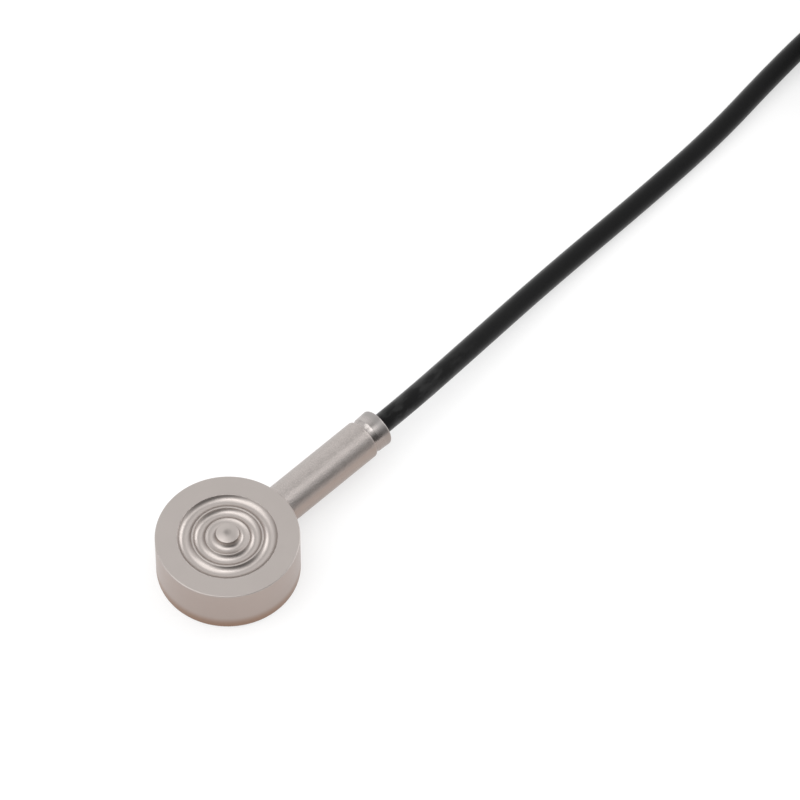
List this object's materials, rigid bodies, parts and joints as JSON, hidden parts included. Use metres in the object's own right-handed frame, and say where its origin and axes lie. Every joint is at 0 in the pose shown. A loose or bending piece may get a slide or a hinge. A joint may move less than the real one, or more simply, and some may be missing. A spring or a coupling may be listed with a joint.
{
  "type": "compression load cell",
  "caption": "Miniature compression load cell: flat stainless disc with a corrugated diaphragm and a domed load button, a radial cable gland and a screened signal cable with free leads.",
  "frame": {"origin": "centre of the disc's base face", "axes": "+Z along the load axis, out of the load button; +X along the cable gland"},
  "size_m": [0.221, 0.0308, 0.014],
  "materials": {
    "disc_steel": "fine satin, turned",
    "cover_steel": "satin",
    "gland_steel": "fine bead-blast satin",
    "collar_steel": "polished stainless steel",
    "board": "glass-fibre laminate with solder mask",
    "tinned_copper": "tinned copper",
    "gauge_foil": "foil on amber film",
    "resistor_ceramic": "dark glazed ceramic",
    "seal_rubber": "matt",
    "clamp_brass": "crimped",
    "resin": "cast epoxy",
    "jacket": "soft satin black",
    "strap": "moulded nylon",
    "insulation_red": "extruded",
    "insulation_black": "extruded",
    "insulation_green": "extruded",
    "insulation_white": "extruded"
  },
  "bodies": {
    "root": {"sensor_body": "disc_steel", "base_cover": "cover_steel", "terminal_board": "board", "terminal_pads": "tinned_copper", "strain_gauge_1": "gauge_foil", "strain_gauge_2": "gauge_foil", "strain_gauge_3": "gauge_foil", "strain_gauge_4": "gauge_foil", "bridge_wires": "tinned_copper", "trim_resistor_1": "resistor_ceramic", "trim_resistor_2": "resistor_ceramic", "gland_tube": "gland_steel", "gland_collar": "collar_steel", "gland_seal": "seal_rubber", "cable_clamp": "clamp_brass", "gland_potting": "resin", "cable_jacket": "jacket", "cable_screen": "tinned_copper", "core_red": "insulation_red", "core_black": "insulation_black", "core_green": "insulation_green", "core_white": "insulation_white", "cable_run": "jacket", "cable_hank": "jacket", "hank_tie_1": "strap", "hank_tie_2": "strap", "cable_tail": "jacket", "lead_green": "insulation_green", "lead_white": "insulation_white", "lead_red": "insulation_red", "lead_black": "insulation_black", "lead_tips": "tinned_copper", "lead_screen": "tinned_copper"}
  },
  "joints": []
}
